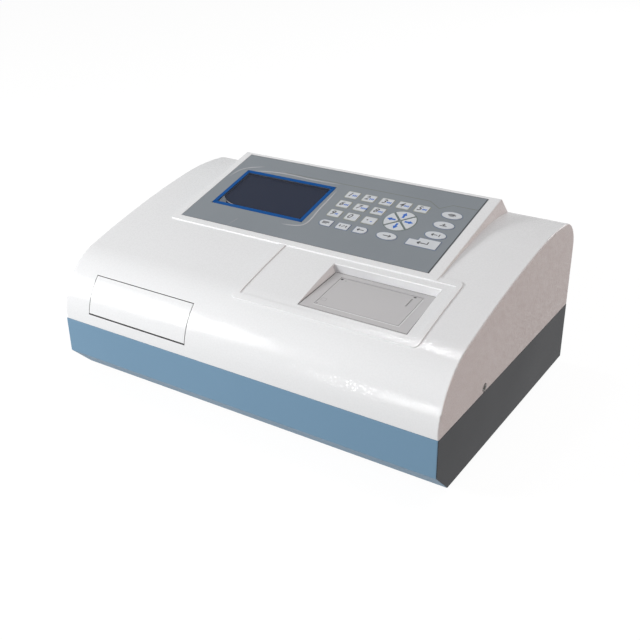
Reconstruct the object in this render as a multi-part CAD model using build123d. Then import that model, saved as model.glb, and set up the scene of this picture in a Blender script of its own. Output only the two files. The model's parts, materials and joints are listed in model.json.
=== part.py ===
from build123d import *
import math
import os

# A bench microplate reader, drawn with x across the front, y = 0 at the front face of the base
# and z = 0 on the bench. place_y then moves the origin under the middle of the whole machine.
# All sizes are in millimetres.

# ---- case ----
width = 450.0
depth = 313.4
rear_proud = 3.6  # how far the data port's jack nuts stand out behind the base
place_y = -(depth + rear_proud) / 2
foot_height = 8.0
base_height = 66.0
base_floor = foot_height
seam_z = foot_height + base_height  # where the white housing meets the metal base
sheet = 1.5
wall = 3.0
chamfer_run = 25.7  # front lower chamfer of the base, along y
chamfer_rise = 26.2
side_edge_radius = 1.6
seam_bevel = 0.5  # on the edges that meet at the seam

# side profile of the housing: a nose arc, a long gentle arc, a flatter crown and a rear arc
front_set = 0.5
nose_radius = 69.5
nose_sweep = 74.3
nose_y = front_set + nose_radius
nose_z = seam_z + 2.0
brow_end = (213.9, 176.3)
crown_end = (282.6, 177.0)
tail_end = (depth, 143.0)

# ---- raised console ----
step = 1.0  # how far the console and the printer surround stand above the housing
console_left = -170.0
console_right = 158.6
console_front = 121.5
console_front_z = 161.8
console_slope = 0.238
console_rear = 268.0
console_foot = 286.8  # where its steep back lands on the housing
console_foot_z = 177.0
console = Plane(
    origin=(0, console_front, console_front_z),
    x_dir=(1, 0, 0),
    z_dir=(0, -console_slope, 1),
)

# overlay panel, measured on the console plane (x across, s up the slope)
panel_left, panel_right = -161.0, 146.4
panel_low, panel_high = 8.0, 147.0
panel_thick = 1.0
panel_sink = 1.2
panel_gap = 0.3

# ---- screen ----
screen_left, screen_right = -143.0, -21.7
screen_low, screen_high = 41.9, 115.0
screen_frame = 5.4  # width of the coloured border at the sides
screen_frame_end = 4.25
glass_thick = 1.5
screen_ledge = 3.5

# ---- keys ----
key_columns = [4.3, 25.4, 46.6, 67.7, 88.8]
key_rows = [106.6, 87.7, 68.8, 49.9]
key_size = (14.2, 11.4)
function_size = (14.2, 9.8)
oval_size = (22.3, 11.6)
oval_x = 123.5
pad_centre = (77.3, 79.0)
pad_radius = 17.2
pad_slit = 2.4
key_gap = 0.3
key_proud = 0.45
key_corner = 0.8
key_lift = 0.2  # play between a key's flange and the underside of the overlay
key_flange = 0.9
key_flange_thick = 0.9
pad_hub = 2.6
enter_left, enter_step, enter_right = 101.2, 111.2, 134.4
enter_drop, enter_tall, enter_short = 5.2, 13.9, 9.5
keypad_window = (-10.0, 143.0, 36.0, 119.0)

# ---- printer ----
rim_left, rim_right = -22.0, 184.0
rim_front, rim_rear = 34.8, 129.0
rim_inner_left, rim_inner_right = -14.5, 178.5
rim_inner_front = 41.0
rim_corner = 6.0
printer_x = 109.0
printer_front = 46.0
printer_front_z = 141.4
printer_slope = 0.141
printer_length = 66.0
printer_half_front = 59.0
printer_half_rear = 55.8
printer_draft = 0.45
printer = Plane(
    origin=(printer_x, printer_front, printer_front_z),
    x_dir=(1, 0, 0),
    z_dir=(0, -printer_slope, 1),
)
printer_plate = 2.5
lid_half = 45.0
lid_low, lid_high = 9.2, 58.4
lid_thick = 2.2
lid_axis = (57.0, -1.8)
bucket_half = 40.0
bucket_low, bucket_high = 20.5, 59.5
bucket_deep = 43.0
bucket_wall = 2.0
roll_axis = (40.0, -21.5)
roll_radius = 18.0
roll_width = 57.0
roll_bore = 6.0
platen_axis = (13.5, -7.2)
platen_radius = 4.0
platen_half = 29.0

# ---- plate door and transport ----
door_left, door_right = -190.1, -57.6
door_low_angle, door_high_angle = 8.9, 45.4
door_gap = 0.8
flap_thick = 2.5
flap_low_angle, flap_high_angle = 10.3, 44.7
hinge_depth = 2.0
hinge_angle = 42.55
hinge_pin = 1.2
running_gap = 0.05

tray_left, tray_right = -189.3, -58.4
tray_centre_y = 165.0
tray_low, tray_top = 89.0, 98.0
pocket = (128.3, 86.0)
pocket_floor = 2.0
well_window = (112.0, 74.0)
sled_front, sled_rear = 222.0, 256.0
rod_front, rod_rear = 7.8, 261.4
post_thick = 3.2
rod_z = 94.0
rod_radius = 4.0
left_rod_x, right_rod_x = -196.0, -51.5
bearing_wall = 2.6
rod_gap = 0.08
carriage_travel = 210.0
belt_x = -208.0
belt_width = 6.0
belt_thick = 1.2
pulley_radius = 8.0
idler_y = 20.0
motor_y = 283.0
stepper = 42.0

deck_z = 48.0
deck_thick = 2.0
leg_front, leg_rear = 36.0, 270.0
head_left, head_right = -41.0, 5.0
head_rear, head_front = 207.0, 123.0
head_travel = 99.0
channel_x = -173.5
channel_pitch = 9.0
channels = 8
guide_bore = 2.6
scan_z = 60.0
scan_rods_y = (138.0, 192.0)
scan_screw_y = 165.0
scan_left, scan_right = -51.0, 112.0
scan_radius = 4.0
arm_reach = -181.5
lower_arm = (74.0, 86.0)
upper_arm = (108.0, 119.0)
wheel_x, wheel_z = -18.0, 84.0
wheel_radius = 15.5
filter_count = 6
filter_ring = 10.0
filter_radius = 3.6

# ---- rear panel ----
rear_left, rear_right = -60.0, 210.0
rear_low, rear_high = 15.0, 68.0
rear_y = depth - sheet
inlet_x, switch_x, port_x, fan_x = 175.0, 142.0, 70.0, -15.0
rocker_off = 8.0  # degrees the rocker is tipped when off
rear_mid = 41.5
fan_size = 50.0
fan_deep = 15.0
fan_bore = 23.5

screw_y = 95.4
screw_z = 78.9
side_recess = 1.8
side_head = 4.2


def box(x0, x1, y0, y1, z0, z1):
    middle = Pos((x0 + x1) / 2, (y0 + y1) / 2, (z0 + z1) / 2)
    return middle * Box(x1 - x0, y1 - y0, z1 - z0)


def rod_x(x0, x1, y, z, r):
    return Pos((x0 + x1) / 2, y, z) * Rot(0, 90, 0) * Cylinder(r, x1 - x0)


def rod_y(x, y0, y1, z, r):
    return Pos(x, (y0 + y1) / 2, z) * Rot(90, 0, 0) * Cylinder(r, y1 - y0)


def rod_z_up(x, y, z0, z1, r):
    return Pos(x, y, (z0 + z1) / 2) * Cylinder(r, z1 - z0)


def slab(plane, outline, low, high):
    """outline, a sketch on plane, raised between two heights over it"""
    return extrude(plane * Pos(0, 0, low) * outline, high - low)


def pillar(x, y, z0, z1, r):
    """an upright hexagonal spacer"""
    return Pos(x, y, z0) * extrude(RegularPolygon(r, 6), z1 - z0)


def rectangle(x0, x1, y0, y1):
    return Pos((x0 + x1) / 2, (y0 + y1) / 2) * Rectangle(x1 - x0, y1 - y0)


def nose_point(angle, radius):
    a = math.radians(angle)
    return (nose_y - radius * math.cos(a), nose_z + radius * math.sin(a))


def prism_x(points, x0, x1):
    face = make_face(Plane.YZ * Polyline(*points, close=True))
    return Pos(x0, 0, 0) * extrude(face, x1 - x0)


# ---- case ----

def side_profile():
    """the housing's side outline, in the y-z plane"""
    front = Line((front_set, seam_z), (front_set, nose_z))
    nose = TangentArc(front @ 1, nose_point(nose_sweep, nose_radius), tangent=(0, 1))
    brow = TangentArc(nose @ 1, brow_end, tangent=nose % 1)
    crown = TangentArc(brow @ 1, crown_end, tangent=brow % 1)
    tail = TangentArc(crown @ 1, tail_end, tangent=crown % 1)
    back = Line(tail @ 1, (depth, seam_z))
    bottom = Line(back @ 1, front @ 0)
    return make_face(front + nose + brow + crown + tail + back + bottom)


def across(face, x0, x1):
    return Pos(x0, 0, 0) * extrude(Plane.YZ * face, x1 - x0)


def housing_outside():
    body = across(side_profile(), -width / 2, width / 2)
    sides = [e for e in body.edges() if abs(abs(e.center().X) - width / 2) < 0.01]
    rounded = [e for e in sides if e.center().Z > seam_z + 0.01]
    body = fillet(rounded, side_edge_radius)
    return chamfer(body.edges().group_by(Axis.Z)[0], seam_bevel)


def console_outline(inset):
    top = [
        (console_front, nose_z),
        (console_front, console_front_z),
        (console_rear, console_front_z + console_slope * (console_rear - console_front)),
        (console_foot, console_foot_z),
        (console_foot, nose_z),
    ]
    face = make_face(Polyline(*top, close=True))
    return offset(face, amount=-inset, kind=Kind.INTERSECTION) if inset else face


def console_body():
    body = across(console_outline(0), console_left, console_right)
    upright = [e for e in body.edges().filter_by(Axis.Z) if e.center().Y < console_front + 1]
    body = fillet(upright, 3.0)
    top = body.faces().sort_by(SortBy.AREA)
    lid = [f for f in top if f.normal_at().Z > 0.9][-1]
    return fillet(lid.edges(), 0.9)


def printer_surround():
    """raised rim round the printer, following the housing's curve"""
    raised = across(offset(side_profile(), amount=step), rim_left, rim_right)
    rim = Pos((rim_left + rim_right) / 2, (rim_front + rim_rear) / 2) * RectangleRounded(
        rim_right - rim_left, rim_rear - rim_front, rim_corner
    )
    field = rectangle(rim_inner_left, rim_inner_right, rim_inner_front, console_front)
    band = extrude(Pos(0, 0, seam_z + 20) * (rim - field), 120)
    return raised & band


def printer_outline(grow):
    a, b = printer_half_front + grow, printer_half_rear + grow
    corners = [(-a, -grow), (a, -grow), (b, printer_length + grow), (-b, printer_length + grow)]
    return make_face(Polyline(*corners, close=True))


def printer_well(grow, low, high):
    """the drafted recess over the printer, between two heights over its floor"""
    floor = printer * Pos(0, 0, low) * printer_outline(grow + printer_draft * low)
    mouth = printer * Pos(0, 0, high) * printer_outline(grow + printer_draft * high)
    return loft([floor, mouth])


def door_hole():
    outer, inner = nose_radius + 6, nose_radius - 8
    corners = [
        nose_point(door_low_angle, outer),
        nose_point(door_low_angle, inner),
        nose_point(door_high_angle, inner),
        nose_point(door_high_angle, outer + 6),
    ]
    return prism_x(corners, door_left, door_right)


def hinge_place():
    return nose_point(hinge_angle, nose_radius - hinge_depth)


def rear_vents():
    slots = []
    for k in range(14):
        x = 52.0 + 8.0 * k
        slots.append(box(x, x + 3.2, depth - 6, depth + 2, 96, 124))
    return slots


def upper_housing():
    outside = housing_outside()
    shell = outside + console_body() + printer_surround()
    hollow = across(offset(side_profile(), amount=-wall), wall - width / 2, width / 2 - wall)
    hollow += box(
        wall - width / 2, width / 2 - wall, front_set + wall, depth - wall, seam_z - 1, nose_z + 6
    )
    hollow += across(console_outline(wall), console_left + wall, console_right - wall)
    shell -= hollow
    shell += printer_well(2.5, -3.0, 10.0) & outside
    shell -= printer_well(0, 0, 14.0)
    shell -= slab(printer, printer_outline(0), -6.0, 0.1)
    seat = rectangle(panel_left, panel_right, panel_low, panel_high)
    shell -= slab(console, seat, -panel_sink, 3)
    shell -= slab(console, screen_hole(screen_ledge), -8, 3)
    shell -= slab(console, rectangle(*keypad_window), -8, 3)
    shell -= slab(console, screen_hole(-0.3), -glass_thick - 0.5, 3)
    shell -= door_hole()
    y, z = hinge_place()
    for x0, x1 in ((door_left - 9, door_left), (door_right, door_right + 9)):
        lug = rod_x(x0, x1, y, z, 4.5) - box(x0, x1, y - 9, y + 9, z - 9, z - 2.6)
        shell += lug & outside
    shell -= rod_x(door_left - 5, door_right + 5, y, z, hinge_pin + running_gap)
    for side in (-1, 1):
        face = side * width / 2
        shell -= rod_x(face - side_recess, face + side_recess, screw_y, screw_z, side_head + 0.5)
        shell -= rod_x(face - 6, face + 6, screw_y, screw_z, 2.2)
    for slot in rear_vents():
        shell -= slot
    return shell


def screen_hole(inset):
    return rectangle(
        screen_left + inset, screen_right - inset, screen_low + inset, screen_high - inset
    )


def base_outline():
    points = [
        (0, seam_z),
        (0, base_floor + chamfer_rise),
        (chamfer_run, base_floor),
        (depth, base_floor),
        (depth, seam_z),
    ]
    return make_face(Polyline(*points, close=True))


def base_tray():
    half = width / 2
    tray = across(base_outline(), -half, half)
    bends = [e for e in tray.edges() if e.center().Z < seam_z - 0.1]
    tray = fillet(bends, 1.2)
    tray = fillet(tray.edges().group_by(Axis.Z)[-1], seam_bevel)
    inside = offset(base_outline(), amount=-sheet, kind=Kind.INTERSECTION)
    tray -= across(inside, sheet - half, half - sheet)
    lip = 5.5
    tray -= box(lip - half, half - lip, lip, depth - lip, seam_z - 3, seam_z + 1)
    tray -= box(rear_left, rear_right, depth - 3, depth + 1, rear_low, rear_high)
    for side in (-1, 1):
        x = side * (half - wall - sheet / 2 - 0.1)
        low, high = seam_z - sheet, screw_z + 9
        tab = box(x - sheet / 2, x + sheet / 2, screw_y - 14, screw_y + 14, low, high)
        tray += tab - rod_x(x - 3, x + 3, screw_y, screw_z, 2.0)
    for k in range(9):
        x = 128.0 + 9.0 * k
        tray -= box(x, x + 4, 205, 250, base_floor - 1, base_floor + 3)
    for x, y in foot_places():
        tray -= rod_z_up(x, y, base_floor - 1, base_floor + 3, 2.1)
    return tray


def foot_places():
    return [(x, y) for y in (48.0, 272.0) for x in (-188.0, 188.0)]


def foot():
    outline = [(2.1, foot_height), (11.5, foot_height), (9.5, 0), (5.5, 0)]
    outline += [(5.5, 4.5), (2.1, 4.5)]
    section = make_face(Plane.XZ * Polyline(*outline, close=True))
    return revolve(section, Axis.Z)


def feet():
    return Compound([Pos(x, y, 0) * foot() for x, y in foot_places()])


def pan_screw(shank, length, head, head_height):
    """a screw standing on z = 0 with its shank downwards"""
    body = Pos(0, 0, head_height / 2) * Cylinder(head, head_height)
    body = chamfer(body.edges().group_by(Axis.Z)[-1], head_height * 0.4)
    return body + Pos(0, 0, -length / 2) * Cylinder(shank, length)


def foot_screw():
    """socket-headed, upside down in its foot"""
    height = 2.4
    screw = pan_screw(2.0, 6.0, 4.2, height)
    return Rot(180, 0, 0) * (screw - Pos(0, 0, height / 2) * extrude(RegularPolygon(1.7, 6), height))


def side_screw():
    """cross-headed, in the housing's side"""
    height = 1.7
    screw = pan_screw(1.9, 8.0, side_head, height)
    for turn in (0, 90):
        screw -= Rot(0, 0, turn) * Pos(0, 0, height) * Box(side_head * 1.15, side_head * 0.24, height)
    return screw


def case_screws():
    """four under the feet and one low on each side of the housing"""
    screws = [Pos(x, y, 4.5) * foot_screw() for x, y in foot_places()]
    for side in (-1, 1):
        at = Pos(side * (width / 2 - side_recess), screw_y, screw_z)
        screws.append(at * Rot(0, side * 90, 0) * side_screw())
    return Compound(screws)


# ---- console ----

def key_outlines(grow=0.0):
    """each key's outline on the console plane, grown all round, by node name"""
    outlines = {}
    number = rounded(key_size, grow)
    labels = ["1", "2", "3", "4", "5", "6", "7", "8", None, None, "9", "0", "dot"]
    for k, label in enumerate(labels):
        if label:
            outlines["key_" + label] = Pos(key_columns[k % 5], key_rows[k // 5]) * number
    bottom_row = key_rows[3]
    outlines["key_mode"] = Pos(key_columns[0], bottom_row) * half_round(-1, grow)
    outlines["key_letter"] = Pos(key_columns[1], bottom_row) * rounded(function_size, grow)
    outlines["key_delete"] = Pos(key_columns[2], bottom_row) * half_round(1, grow)
    for name, turn in (("right", 0), ("up", 90), ("left", 180), ("down", 270)):
        outlines["key_" + name] = Pos(*pad_centre) * Rot(0, 0, turn) * pad_sector(grow)
    oval = Ellipse(oval_size[0] / 2 + grow, oval_size[1] / 2 + grow)
    for name, row in (("print", 0), ("save", 1), ("reset", 2)):
        outlines["key_" + name] = Pos(oval_x, key_rows[row] - 0.8) * oval
    outlines["key_send"] = Pos(pad_centre[0], bottom_row) * oval
    outlines["key_enter"] = enter_outline(grow)
    return outlines


def rounded(size, grow):
    return RectangleRounded(size[0] + 2 * grow, size[1] + 2 * grow, key_corner + grow)


def half_round(side, grow):
    """a function key with one round end"""
    length, height = function_size[0] + 2 * grow, function_size[1] + 2 * grow
    r = height / 2
    block = Pos(-side * r / 2, 0) * Rectangle(length - r, height)
    return block + Pos(side * (length / 2 - r), 0) * Circle(r)


def pad_sector(grow):
    """one quarter of the round arrow pad, set off from the slits and the hub"""
    reach = pad_radius * 2
    slit = pad_slit * 0.7 - grow * math.sqrt(2)
    wedge = make_face(Polyline((0, 0), (reach, -reach), (reach, reach), close=True))
    quarter = Pos(slit, 0) * wedge & Circle(pad_radius + grow)
    return quarter - Circle(pad_hub - grow)


def enter_outline(grow):
    low = key_rows[3] - enter_drop
    left, inner, right = enter_left, enter_step, enter_right
    corners = [
        (left - grow, low - grow),
        (right + grow, low - grow),
        (right + grow, low + enter_tall + grow),
        (inner - grow, low + enter_tall + grow),
        (inner - grow, low + enter_short + grow),
        (left - grow, low + enter_short + grow),
    ]
    return make_face(Polyline(*corners, close=True))


def key_flange_outline(name, outline):
    """the lip behind the overlay: square-cornered, or following an arrow key's quarter"""
    if name in ("key_right", "key_up", "key_left", "key_down"):
        return key_outlines(key_flange)[name]
    low, high = outline.bounding_box().min, outline.bounding_box().max
    lip = key_flange
    return rectangle(low.X - lip, high.X + lip, low.Y - lip, high.Y + lip)


def keys():
    made = {}
    seat = -panel_sink - key_lift
    top = panel_thick - panel_sink + key_proud
    for name, outline in key_outlines().items():
        cap = slab(console, outline, seat, top)
        lip = key_flange_outline(name, outline)
        made[name] = cap + slab(console, lip, seat - key_flange_thick, seat)
    return made


def control_panel():
    sheet_outline = rectangle(
        panel_left + panel_gap,
        panel_right - panel_gap,
        panel_low + panel_gap,
        panel_high - panel_gap,
    )
    for outline in key_outlines(key_gap).values():
        sheet_outline -= outline
    sheet_outline -= screen_hole(-0.3)
    return slab(console, sheet_outline, -panel_sink, -panel_sink + panel_thick)


def screen_window():
    return slab(console, screen_hole(0), -glass_thick - 0.5, -0.5)


def screen_border():
    hole = rectangle(
        screen_left + screen_frame,
        screen_right - screen_frame,
        screen_low + screen_frame_end,
        screen_high - screen_frame_end,
    )
    return slab(console, screen_hole(0) - hole, -0.5, -0.2)


def lcd_module():
    middle = ((screen_left + screen_right) / 2, (screen_low + screen_high) / 2)
    board = Pos(*middle) * Rectangle(144, 104)
    can = Pos(*middle) * Rectangle(126, 78)
    module = slab(console, board, -9.2, -7.6) + slab(console, can, -7.6, -wall - 0.1)
    for dx in (-70, 70):
        for dy in (-48, 48):
            notch = Pos(middle[0] + dx, middle[1] + dy) * Rectangle(6, 3.2)
            module -= slab(console, notch, -10, -6)
    return module


def keypad_board():
    x0, x1, s0, s1 = keypad_window
    board = rectangle(x0 - 5, x1 + 5, s0 - 5, s1 + 5)
    return slab(console, board, -wall - 1.6, -wall)


# ---- printer ----

def printer_frame():
    """mounting plate, hinge ears and the bucket that holds the paper roll"""
    u, v0, v1 = lid_half + 0.5, lid_low - 0.5, lid_high + 1.2
    bucket = rectangle(-bucket_half, bucket_half, bucket_low, bucket_high)
    plate = slab(printer, printer_outline(-0.4), -printer_plate, 0)
    plate += slab(printer, rectangle(-u - 5, u + 5, v1 - 8, v1 + 3), -5.5, -printer_plate)
    plate += slab(printer, offset(bucket, amount=bucket_wall), -bucket_deep, -printer_plate)
    plate -= slab(printer, rectangle(-u, u, v0, v1), -7, 1)
    plate -= slab(printer, bucket, bucket_wall - bucket_deep, 1)
    hub = printer * Pos(0, *roll_axis) * Rot(0, 90, 0) * Cylinder(roll_bore - 0.1, 2 * bucket_half + 1)
    gap = printer * Pos(0, *roll_axis) * Box(2 * 26.0, 30, 30)
    plate += hub - gap
    pin_bore = printer * Pos(0, *lid_axis) * Rot(0, 90, 0) * Cylinder(1.5 + running_gap, 2 * (u + 3.5))
    return plate - pin_bore


def printer_lid():
    lid = slab(printer, rectangle(-lid_half, lid_half, lid_low, lid_high), -lid_thick, 0)
    barrel = printer * Pos(0, *lid_axis) * Rot(0, 90, 0) * Cylinder(1.8, 2 * lid_half)
    pin = printer * Pos(0, *lid_axis) * Rot(0, 90, 0) * Cylinder(1.5, 2 * (lid_half + 3))
    lid += barrel + pin
    v, w = platen_axis
    for side in (-1, 1):
        x0, x1 = sorted((side * (platen_half + 1.5), side * (platen_half + 4.5)))
        ear = slab(printer, rectangle(x0, x1, v - 3.2, v + 4), w - 2.8, -lid_thick + 0.2)
        lid += ear
    bore = printer * Pos(0, v, w) * Rot(0, 90, 0) * Cylinder(1.5 + running_gap, 100)
    finger = slab(printer, rectangle(35.6, 37.2, 40, 53.5), -0.8, 1)
    return lid - bore - finger


def platen_roller():
    v, w = platen_axis
    sleeve = printer * Pos(0, v, w) * Rot(0, 90, 0) * Cylinder(platen_radius, 2 * platen_half)
    shaft = printer * Pos(0, v, w) * Rot(0, 90, 0) * Cylinder(1.5, 2 * (platen_half + 7.4))
    gear = printer * Pos(platen_half + 6.2, v, w) * Rot(0, 90, 0) * toothed_disc(3.4, 12, 3.0, 0.7)
    return sleeve + shaft + gear


def toothed_disc(radius, teeth, thick, tooth):
    """a small gear or toothed pulley about z"""
    disc = Cylinder(radius - tooth, thick)
    for k in range(teeth):
        place = Rot(0, 0, 360 * k / teeth) * Pos(radius - tooth, 0, 0)
        disc += place * Box(tooth * 2, tooth * 1.1, thick)
    return disc


def paper_roll():
    roll = Cylinder(roll_radius, roll_width) - Cylinder(roll_bore, roll_width + 1)
    return printer * Pos(0, *roll_axis) * Rot(0, 90, 0) * roll


def print_head():
    v, w = platen_axis
    top = w - platen_radius - 0.3
    head = slab(printer, rectangle(-32, 32, v - 4, bucket_low - 2), top - 4.5, top)
    head += slab(printer, rectangle(-30, 30, v - 0.8, v + 0.8), top, top + 0.15)
    return head


# ---- plate door and transport ----

def plate_door():
    outer, inner = nose_radius, nose_radius - flap_thick
    left, right = door_left + door_gap, door_right - door_gap
    low, mid, high = flap_low_angle, (flap_low_angle + flap_high_angle) / 2, flap_high_angle
    front = ThreePointArc(nose_point(low, outer), nose_point(mid, outer), nose_point(high, outer))
    back = ThreePointArc(nose_point(high, inner), nose_point(mid, inner), nose_point(low, inner))
    section = make_face(front + Line(front @ 1, back @ 0) + back + Line(back @ 1, front @ 0))
    flap = across(section, left, right)
    y, z = hinge_place()
    flap += rod_x(left, right, y, z, hinge_depth)
    flap += rod_x(left - 4.5, right + 4.5, y, z, hinge_pin)
    root, tip = inner + 0.8, inner - 3
    corners = [(low, root), (low, tip), (low + 2, tip), (low + 2, root)]
    return flap + prism_x([nose_point(a, r) for a, r in corners], left + 3, right - 3)


def plate_carriage():
    x = (tray_left + tray_right) / 2
    front, rear = tray_centre_y - pocket[1] / 2 - 4, tray_centre_y + pocket[1] / 2 + 4
    tray = box(tray_left, tray_right, front, rear, tray_low, tray_top)
    low_x, high_x = x - pocket[0] / 2, x + pocket[0] / 2
    low_y, high_y = tray_centre_y - pocket[1] / 2, tray_centre_y + pocket[1] / 2
    tray -= box(low_x, high_x, low_y, high_y, tray_low + pocket_floor, tray_top + 1)
    wx, wy = well_window[0] / 2, well_window[1] / 2
    tray -= box(x - wx, x + wx, tray_centre_y - wy, tray_centre_y + wy, tray_low - 1, tray_top)
    for side in (-1, 1):
        tray -= Pos(x + side * 40, front, tray_top) * Cylinder(9, 12)
    tray += box(x - 46, x + 46, rear - 2, sled_front + 1, tray_low + 2, tray_top - 1)
    sled = box(left_rod_x - 6.6, right_rod_x + 6.6, sled_front, sled_rear, tray_low + 1, tray_top)
    tray += sled
    for rx in (left_rod_x, right_rod_x):
        tray += rod_y(rx, sled_front, sled_rear, rod_z, rod_radius + bearing_wall)
        tray -= rod_y(rx, sled_front - 1, sled_rear + 1, rod_z, rod_radius + rod_gap)
    clamp_z = rod_z + pulley_radius + belt_thick + 0.4
    tray += box(belt_x - 4, left_rod_x, 236, 252, clamp_z, clamp_z + 3)
    tray += box(left_rod_x - 4, left_rod_x, 236, 252, tray_top - 1, clamp_z + 3)
    tray -= rod_y(left_rod_x, sled_front - 1, sled_rear + 1, rod_z, rod_radius + rod_gap)
    tray -= box(x - 40, x + 40, sled_front + 8, sled_rear - 8, tray_low, tray_top + 1)
    return tray


def guide_rods():
    rods = [rod_y(x, rod_front, rod_rear, rod_z, rod_radius) for x in (left_rod_x, right_rod_x)]
    rods += [rod_x(scan_left, scan_right, y, scan_z, scan_radius) for y in scan_rods_y]
    return Compound(rods)


def transport_deck():
    """folded plate that carries both slides, on six legs"""
    top = deck_z + deck_thick
    deck = box(-216, scan_right, 14, 290, deck_z, top)
    deck += box(-216, -160, 280, 306, deck_z, top)
    for x in (left_rod_x, right_rod_x):
        deck += box(x - 5.5, x + 5.5, rod_front + 0.2, 15, deck_z, top)
        for y in (rod_front + 0.2, rod_rear - post_thick):
            post = box(x - 5.5, x + 5.5, y, y + post_thick, deck_z, rod_z + 5)
            deck += post - rod_y(x, y - 1, y + 5, rod_z, rod_radius)
    motor_plate = box(-203.5, -201.5, motor_y - 20, motor_y + 20, deck_z, rod_z + 23)
    deck += motor_plate - rod_x(-205, -200, motor_y, rod_z, 5)
    deck += box(-216, -214, idler_y - 7, idler_y + 7, deck_z, rod_z + 6)
    deck += rod_x(-214, -203.4, idler_y, rod_z, 2.5)
    for x in (scan_left, scan_right - 4):
        end = box(x, x + 4, scan_screw_y - 36, scan_screw_y + 36, deck_z, scan_z + 7)
        if x > 0:
            end += box(x, x + 4, scan_screw_y - 21, scan_screw_y + 21, deck_z, scan_z + 21)
        for y in scan_rods_y:
            end -= rod_x(x - 1, x + 5, y, scan_z, scan_radius)
        end -= rod_x(x - 1, x + 5, scan_screw_y, scan_z, 3.0 if x < 0 else 5.0)
        deck += end
    for x in (-200, -60, 100):
        for y in (leg_front, leg_rear):
            deck += pillar(x, y, base_floor + sheet, deck_z, 5.6)
    fan_bay = fan_size / 2 + 2
    return deck - box(fan_x - fan_bay, fan_x + fan_bay, rear_y - fan_deep - 6, depth, deck_z - 1, top + 1)


def belt_loop(radius):
    span = motor_y - idler_y
    return Pos((motor_y + idler_y) / 2, rod_z) * SlotCenterToCenter(span, 2 * radius)


def carriage_belt():
    loop = belt_loop(pulley_radius + belt_thick + 0.2) - belt_loop(pulley_radius + 0.2)
    return across(loop, belt_x - belt_width / 2, belt_x + belt_width / 2)


def pulley(length):
    core = toothed_disc(pulley_radius, 18, length, 0.8)
    for side in (-1, 1):
        core += Pos(0, 0, side * (length / 2 - 0.4)) * Cylinder(pulley_radius, 0.8)
    return core


def carriage_pulley():
    wheel = Pos(belt_x, motor_y, rod_z) * Rot(0, 90, 0) * pulley(7.6)
    return wheel + rod_x(belt_x, -190, motor_y, rod_z, 2.5)


def carriage_idler():
    wheel = Pos(belt_x, idler_y, rod_z) * Rot(0, 90, 0) * pulley(7.6)
    return wheel - rod_x(-215, -200, idler_y, rod_z, 2.5 + running_gap)


def stepper_body(length):
    """a square stepper motor whose shaft side faces +z"""
    body = Pos(0, 0, -length / 2) * Box(stepper, stepper, length)
    body = chamfer(body.edges().filter_by(Axis.Z), 4)
    body += Pos(0, 0, 1) * Cylinder(4.8, 2)
    return body - Pos(0, 0, -5) * Cylinder(2.5 + running_gap, 20)


def carriage_motor():
    return Pos(-201.5, motor_y, rod_z) * Rot(0, -90, 0) * stepper_body(34)


def scan_motor():
    return Pos(scan_right, scan_screw_y, scan_z) * Rot(0, -90, 0) * stepper_body(34)


def scan_screw():
    fat = rod_x(scan_left + 0.2, scan_right - 3, scan_screw_y, scan_z, 3.0 - running_gap)
    return fat + rod_x(scan_right - 3, scan_right + 7, scan_screw_y, scan_z, 2.5)


def optics_head():
    mid_y = (head_front + head_rear) / 2
    head = box(head_left, head_right, head_front, head_rear, 53, 68)
    head += box(head_left, head_left + 6, 128, 202, 68, 120)
    head += box(arm_reach, head_left + 2, 128, 202, *lower_arm)
    head += box(arm_reach, head_left + 2, 128, 202, *upper_arm)
    head -= box(arm_reach + 18, head_left - 8, 134, 196, 111, 120)
    head += box(head_left + 6, head_right, 196, 202, 68, 96)
    for y in scan_rods_y:
        head -= rod_x(head_left - 1, head_right + 1, y, scan_z, scan_radius + rod_gap)
    head -= rod_x(head_left - 1, head_right + 1, scan_screw_y, scan_z, 3.3)
    for k in range(channels):
        y = mid_y + channel_pitch * (k - (channels - 1) / 2)
        head -= rod_z_up(channel_x, y, upper_arm[0] - 1, upper_arm[1] + 1, guide_bore)
    half = channel_pitch * channels / 2
    low, high = lower_arm[0] + 4, lower_arm[1] + 1
    head -= box(channel_x - guide_bore, channel_x + guide_bore, mid_y - half, mid_y + half, low, high)
    head -= rod_y(wheel_x, 190, 204, wheel_z + 12, 4)
    return head


def filter_wheel():
    wheel = rod_y(wheel_x, 186, 190, wheel_z, wheel_radius)
    for x, z in filter_places():
        wheel -= rod_y(x, 185, 191, z, filter_radius)
    return wheel + rod_y(wheel_x, 164, 188, wheel_z, 2.0)


def filter_places():
    turns = [math.tau * k / filter_count for k in range(filter_count)]
    return [
        (wheel_x + filter_ring * math.cos(a), wheel_z + filter_ring * math.sin(a)) for a in turns
    ]


def optical_filters():
    return Compound([rod_y(x, 186.5, 189.5, z, filter_radius) for x, z in filter_places()])


def filter_motor():
    body = rod_y(wheel_x, 150, 180, wheel_z, 14)
    body += box(wheel_x - 10, wheel_x + 10, 152, 178, 68, wheel_z - 8)
    return body - rod_y(wheel_x, 160, 184, wheel_z, 2.0 + running_gap)


def lamp_housing():
    shell = box(wheel_x - 14, wheel_x + 14, 202, 232, 70, 112)
    for k in range(5):
        z = 76 + 7 * k
        shell -= box(wheel_x - 16, wheel_x - 11, 206, 230, z, z + 3)
        shell -= box(wheel_x + 11, wheel_x + 16, 206, 230, z, z + 3)
    return shell - rod_y(wheel_x, 200, 222, wheel_z + 12, 4)


# ---- electronics and rear panel ----

def main_board():
    board = box(16, 104, 60, 250, 22, 23.6)
    board += box(30, 50, 80, 100, 23.6, 27) + box(62, 90, 120, 148, 23.6, 28)
    board += box(24, 36, 180, 236, 23.6, 32) + box(84, 98, 70, 110, 23.6, 33)
    for x, y in ((22, 66), (98, 66), (22, 244), (98, 244)):
        board += pillar(x, y, base_floor + sheet, 22, 3.4)
    return board


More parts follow.
